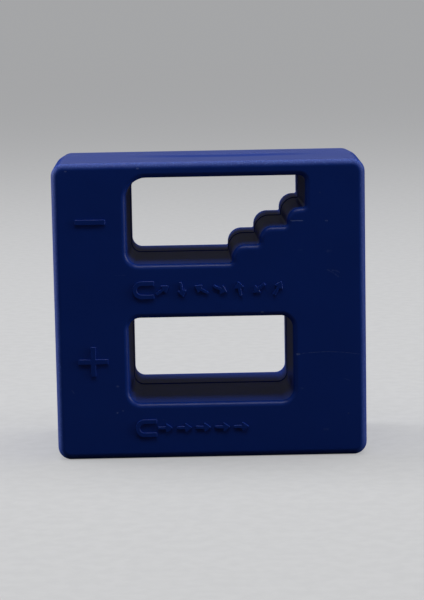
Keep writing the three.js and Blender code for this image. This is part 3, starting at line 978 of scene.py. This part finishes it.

# %% [markdown]
# ## Blue ABS
# The plastic is coloured through, so it has no coat: one soft, satin skin with a faint grain from the mould.
# Handling leaves small marks. A few scratches and scuffs on the face are placed one by one, because a used
# face has single marks with clean plastic between them, and an even sprinkle never looks used. Rubbed edges
# go paler, speckled and a little rougher; the paler, brighter blue is partly wear and partly a painted
# highlight on the rounded edges. The top holds a greyish film that is mostly a painted sheen, drawn out along
# the block, and thinner in the dip, which paints the dip's darker reflection. A mask painted by hand would do
# as well, but a value that the mesh already has, how far each point faces up, puts the painted sheen on the
# faces that look up.

# %% Plastic
MARKS = [  # from (x, z), to (x, z), width, bow, strength, on the face in millimetres
    ((13.6, 39.8), (15.6, 39.8), 0.24, 0.0, 0.75),
    ((19.4, 39.7), (19.6, 39.7), 0.40, 0.0, 0.55),
    ((19.6, 31.5), (21.4, 30.3), 0.30, 0.1, 0.22),
    ((20.4, 31.4), (21.6, 31.0), 0.26, 0.1, 0.25),
    ((19.7, 34.6), (20.1, 34.6), 0.60, 0.0, 0.15),
    ((14.8, 34.9), (15.4, 34.9), 0.25, 0.0, 0.12),
    ((14.4, 17.4), (14.7, 17.4), 0.42, 0.0, 0.8),
    ((15.3, 17.5), (24.8, 17.2), 0.11, 0.35, 0.4),
    ((8.5, 24.6), (8.8, 24.6), 0.36, 0.0, 0.6),
    ((22.2, 13.1), (23.1, 12.8), 0.16, 0.0, 0.2),
    ((15.0, 11.6), (15.3, 11.6), 0.40, 0.0, 0.15),
    ((18.8, 4.5), (19.4, 4.5), 0.50, 0.0, 0.12),
    ((-15.8, 12.5), (-15.6, 12.5), 0.44, 0.0, 0.35),
    ((-15.9, 8.0), (-15.8, 8.0), 0.38, 0.0, 0.5),
    ((-15.0, 8.3), (-14.9, 8.3), 0.34, 0.0, 0.35),
    ((-23.4, 11.9), (-23.0, 11.4), 0.18, 0.0, 0.35),
    ((-11.7, 48.9), (-11.5, 48.9), 0.36, 0.0, 0.6),
    ((-23.6, 48.6), (-23.4, 48.6), 0.36, 0.0, 0.55),
    ((-15.8, 31.2), (-14.0, 31.2), 0.14, 0.0, 0.15),
]


def satin_plastic(name, blue, marks):
    """Coloured plastic with grain and waviness as bump, and five things on it, some left by use and some
    painted light.

    They are paler, speckled and rougher edges, partly wear and partly painted highlight; a greyish film on
    what faces up, mostly painted sheen; dust; and the placed marks.
    """
    material, tree, shader = new_finish(name)
    skin = use(tree, grain_group, Features=4.0, Height=0.006, Wave=0.22, Wave_height=0.05)
    edges = use(tree, edge_group, Amount=1.0, Features=0.9)["Mask"]
    dust = use(tree, dust_group, Spacing=4.5, Size=0.10, Share=0.25)["Mask"]
    cloudy = fade(tree, noise(tree, millimetres(tree), 0.09, 2.0), 0.3, 0.7)
    scratches = None
    for start, end, width, bow, strength in marks:
        first, last = (start[0], FACE, start[1]), (end[0], FACE, end[1])
        mask = use(tree, scratch_group, Start=first, End=last, Width=width, Bow=bow)["Mask"]
        mask = sum_of(tree, "MULTIPLY", mask, strength)
        scratches = mask if scratches is None else sum_of(tree, "MAXIMUM", scratches, mask)
    # Paler, brighter blue edges and specks: partly wear, partly a painted highlight on the rounded edges.
    pale = tuple(0.75 * v + 0.25 * w for v, w in zip(blue, WORN_AND_HIGHLIGHT_PALE))
    colour = blend(tree, sum_of(tree, "MULTIPLY", cloudy, 0.25), blue, tuple(0.82 * v for v in blue))
    colour = blend(tree, sum_of(tree, "MULTIPLY", edges, 0.35), colour, pale)
    specks = fade(tree, noise(tree, millimetres(tree), 4.5, 1.0), 0.56, 0.68)
    worn_and_highlight_specks = sum_of(tree, "MULTIPLY", specks, edges)
    colour = blend(tree, sum_of(tree, "MULTIPLY", worn_and_highlight_specks, 0.45), colour, WORN_AND_HIGHLIGHT_BRIGHT)
    # The greyish film on faces that look up is mostly a painted sheen, drawn out along the block.
    upward = step(tree, "ShaderNodeAttribute", attribute_name="upward").outputs["Fac"]
    place = millimetres(tree)
    drawn_out = step(tree, "ShaderNodeVectorMath", {0: place, 1: SHEEN_AND_FILM_STRETCH}, operation="MULTIPLY")
    sheen_and_film = fade(tree, noise(tree, drawn_out.outputs[0], 0.8, 4.0, 0.6), 0.3, 0.7, 0.34, 0.46)
    sheen_and_film = sum_of(tree, "MULTIPLY", sheen_and_film, fade(tree, upward, 0.85, 1.0))
    height_over_base = step(tree, "ShaderNodeSeparateXYZ", {0: place}).outputs["Z"]
    sheen_and_film = sum_of(tree, "MULTIPLY", sheen_and_film, fade(tree, height_over_base, TOP - 3.0, TOP - 1.5))
    # Thinner painted sheen over an oval in the dip paints the dip's darker reflection.
    dark_dip_centre = (DIP_MIDDLE, JOINT - DIP_REACH, TOP)
    from_dip = step(tree, "ShaderNodeVectorMath", {0: place, 1: dark_dip_centre}, operation="SUBTRACT")
    from_dip = {0: from_dip.outputs[0], 1: (1 / DARK_DIP_HALF_LENGTH, 1 / DARK_DIP_HALF_WIDTH, 0.0)}
    from_dip = step(tree, "ShaderNodeVectorMath", from_dip, operation="MULTIPLY")
    dip_away = step(tree, "ShaderNodeVectorMath", {0: from_dip.outputs[0]}, operation="LENGTH")
    dip_away = dip_away.outputs["Value"]
    sheen_and_film = sum_of(tree, "MULTIPLY", sheen_and_film, fade(tree, dip_away, 0.3, 1.0, 0.1, 1.0))
    colour = blend(tree, sheen_and_film, colour, SHEEN_AND_FILM)
    if scratches is not None:
        colour = blend(tree, sum_of(tree, "MULTIPLY", scratches, 0.9), colour, SCRATCHED)
    colour = blend(tree, sum_of(tree, "MULTIPLY", dust, 0.35), colour, DUSTY)
    tree.links.new(colour, shader.inputs["Base Color"])
    gloss = sum_of(tree, "MULTIPLY_ADD", skin["Shade"], 0.06, 0.29)
    gloss = sum_of(tree, "MULTIPLY_ADD", sheen_and_film, 0.35, gloss)
    gloss = sum_of(tree, "MULTIPLY_ADD", edges, 0.30, gloss)
    gloss = sum_of(tree, "MULTIPLY_ADD", dust, 0.3, gloss)
    height = skin["Height"]
    if scratches is not None:
        gloss = sum_of(tree, "MULTIPLY_ADD", scratches, 0.15, gloss)
        height = sum_of(tree, "MULTIPLY_ADD", scratches, -0.02, height)
    tree.links.new(gloss, shader.inputs["Roughness"])
    raise_surface(tree, shader, height)
    shader.inputs["Specular IOR Level"].default_value = 0.5
    return material


BLUE = (0.006, 0.054, 0.44)
# Edge colours: partly wear, partly a painted highlight.
WORN_AND_HIGHLIGHT_PALE = (0.16, 0.28, 0.80)
WORN_AND_HIGHLIGHT_BRIGHT = (0.10, 0.24, 0.85)  # specks on the edges: partly wear, partly painted highlight
SCRATCHED = (0.24, 0.34, 0.80)
DUSTY = (0.20, 0.26, 0.50)
SHEEN_AND_FILM = (0.13, 0.15, 0.30)  # mostly painted sheen on faces that look up
SHEEN_AND_FILM_STRETCH = (0.15, 1.0, 1.0)  # drawn out along the block
DARK_DIP_HALF_LENGTH = 19.0  # the painted sheen is thinner in the dip, over an oval of this size, which paints its darker reflection
DARK_DIP_HALF_WIDTH = 4.5
front_plastic = satin_plastic("front_shell_plastic", BLUE, MARKS)
rear_plastic = satin_plastic("rear_shell_plastic", BLUE, [])
for shell, finish in ((front_shell, front_plastic), (rear_shell, rear_plastic)):
    shell.data.materials.append(finish)

# %% [markdown]
# ## Ferrite and foam
# Neither shows from outside, but both are there when the halves are parted. Ferrite is a charcoal ceramic
# with a sugary grain and lighter chips along its edges. Foam is dark and open-looking, with cells of half a
# millimetre; the sunken cells are painted darker than their walls, as painted shade.

# %% Ferrite and foam
def fired_ceramic(name):
    """Charcoal ceramic with a grain, paler edges and dust."""
    material, tree, shader = new_finish(name)
    skin = use(tree, grain_group, Features=7.0, Height=0.02, Wave=0.5, Wave_height=0.03)
    edges = use(tree, edge_group, Amount=1.4, Features=1.6)["Mask"]
    dust = use(tree, dust_group, Spacing=2.5, Size=0.10, Share=0.4)["Mask"]
    colour = blend(tree, skin["Shade"], (0.020, 0.020, 0.022), (0.036, 0.035, 0.036))
    colour = blend(tree, edges, colour, (0.11, 0.11, 0.115))
    colour = blend(tree, sum_of(tree, "MULTIPLY", dust, 0.5), colour, (0.22, 0.21, 0.20))
    tree.links.new(colour, shader.inputs["Base Color"])
    tree.links.new(sum_of(tree, "MULTIPLY_ADD", skin["Shade"], 0.2, 0.45), shader.inputs["Roughness"])
    raise_surface(tree, shader, skin["Height"])
    return material


def closed_foam(name):
    """Dark foam: round cells from a Voronoi pattern, sunk below thin walls, and painted darker as painted
    shade.
    """
    material, tree, shader = new_finish(name)
    skin = use(tree, grain_group, Features=9.0, Height=0.02, Wave=0.6, Wave_height=0.05)
    cells = step(tree, "ShaderNodeTexVoronoi", {"Vector": millimetres(tree), "Scale": 2.2})
    # The sunken cells are painted darker than the walls: painted shade in the hollows.
    wall = fade(tree, cells.outputs["Distance"], 0.25, 0.6)
    colour = blend(tree, wall, (0.035, 0.035, 0.037), (0.10, 0.10, 0.105))
    tree.links.new(colour, shader.inputs["Base Color"])
    tree.links.new(sum_of(tree, "MULTIPLY_ADD", skin["Shade"], 0.1, 0.85), shader.inputs["Roughness"])
    height = sum_of(tree, "MULTIPLY_ADD", wall, 0.12, skin["Height"])
    raise_surface(tree, shader, height)
    return material


ferrite, foam = fired_ceramic("fired_ferrite"), closed_foam("closed_cell_foam")
for magnet in magnets:
    magnet.data.materials.append(ferrite)
for pad in pads:
    pad.data.materials.append(foam)

# %% [markdown]
# ## Floor and lights
# The block stands on a plain pale sheet. A large soft light hangs over it, a little behind, so the top is
# bright and the face falls away into deep blue. A small one, above and in front, draws a line on the lips.
# Two tall ones light the rounded edges: the left one stands behind the plane of the face, and the right one
# a little in front of it. A photographer would lay black cards so that the pale sheet doesn't light the
# face from below. Light Path does that here: the camera sees the sheet as it is, and other rays meet a dark
# one. The room behind has the colour that the sheet fades to, so no line shows where the sheet ends.

# %% Floor and lights
FLOOR_HALF = 3000.0
corner_places = [(-1, -1), (1, -1), (1, 1), (-1, 1)]
sheet = bpy.data.meshes.new("floor")
sheet_corners = [(x * FLOOR_HALF * MM, y * FLOOR_HALF * MM, 0) for x, y in corner_places]
sheet.from_pydata(sheet_corners, [], [(0, 1, 2, 3)])
floor = bpy.data.objects.new("floor", sheet)
bpy.context.scene.collection.objects.link(floor)

paper = bpy.data.materials.new("pale_sheet")
paper.use_nodes = True
tree = paper.node_tree
shader = tree.nodes["Principled BSDF"]
fibre = fade(tree, noise(tree, millimetres(tree), 0.4, 4.0), 0.3, 0.7)
seen = blend(tree, fibre, (0.30, 0.302, 0.305), (0.33, 0.332, 0.335))
camera_ray = step(tree, "ShaderNodeLightPath").outputs["Is Camera Ray"]
tree.links.new(blend(tree, camera_ray, (0.04, 0.04, 0.04), seen), shader.inputs["Base Color"])
tree.links.new(blend(tree, camera_ray, (0.0, 0.0, 0.0), (0.36, 0.363, 0.37)), shader.inputs["Emission Color"])
shader.inputs["Emission Strength"].default_value = 1.0
shader.inputs["Roughness"].default_value = 0.9
shader.inputs["Specular IOR Level"].default_value = 0.0
floor.data.materials.append(paper)


def soft_light(name, place, target, size, power, colour=(1, 1, 1)):
    """A rectangular lamp of size (across, up) in millimetres, facing a target."""
    lamp = bpy.data.objects.new(name, bpy.data.lights.new(name, "AREA"))
    lamp.data.shape = "RECTANGLE"
    lamp.data.size, lamp.data.size_y = size[0] * MM, size[1] * MM
    lamp.data.energy = power
    lamp.data.color = colour
    lamp.location = Vector(place) * MM
    aim = Vector(target) * MM - lamp.location
    lamp.rotation_euler = aim.to_track_quat("-Z", "Y").to_euler()
    bpy.context.scene.collection.objects.link(lamp)


soft_light("over", (0, 160, 630), (0, 0, 30), (900, 300), 2.2)
soft_light("front_top", (0, -200, 650), (0, 0, 30), (500, 160), 0.8)
soft_light("left", (-680, 150, 200), (0, 0, 25), (300, 500), 2.9)
soft_light("right", (700, -40, 220), (0, 0, 25), (320, 600), 2.2)


world = bpy.data.worlds.new("room")
bpy.context.scene.world = world
world.use_nodes = True
tree = world.node_tree
background = tree.nodes["Background"]
camera_ray = step(tree, "ShaderNodeLightPath").outputs["Is Camera Ray"]
room_colour = blend(tree, camera_ray, (0.045, 0.045, 0.048), (0.374, 0.378, 0.386))
tree.links.new(room_colour, background.inputs["Color"])
background.inputs["Strength"].default_value = 1.0
bpy.context.scene.view_settings.view_transform = "Standard"
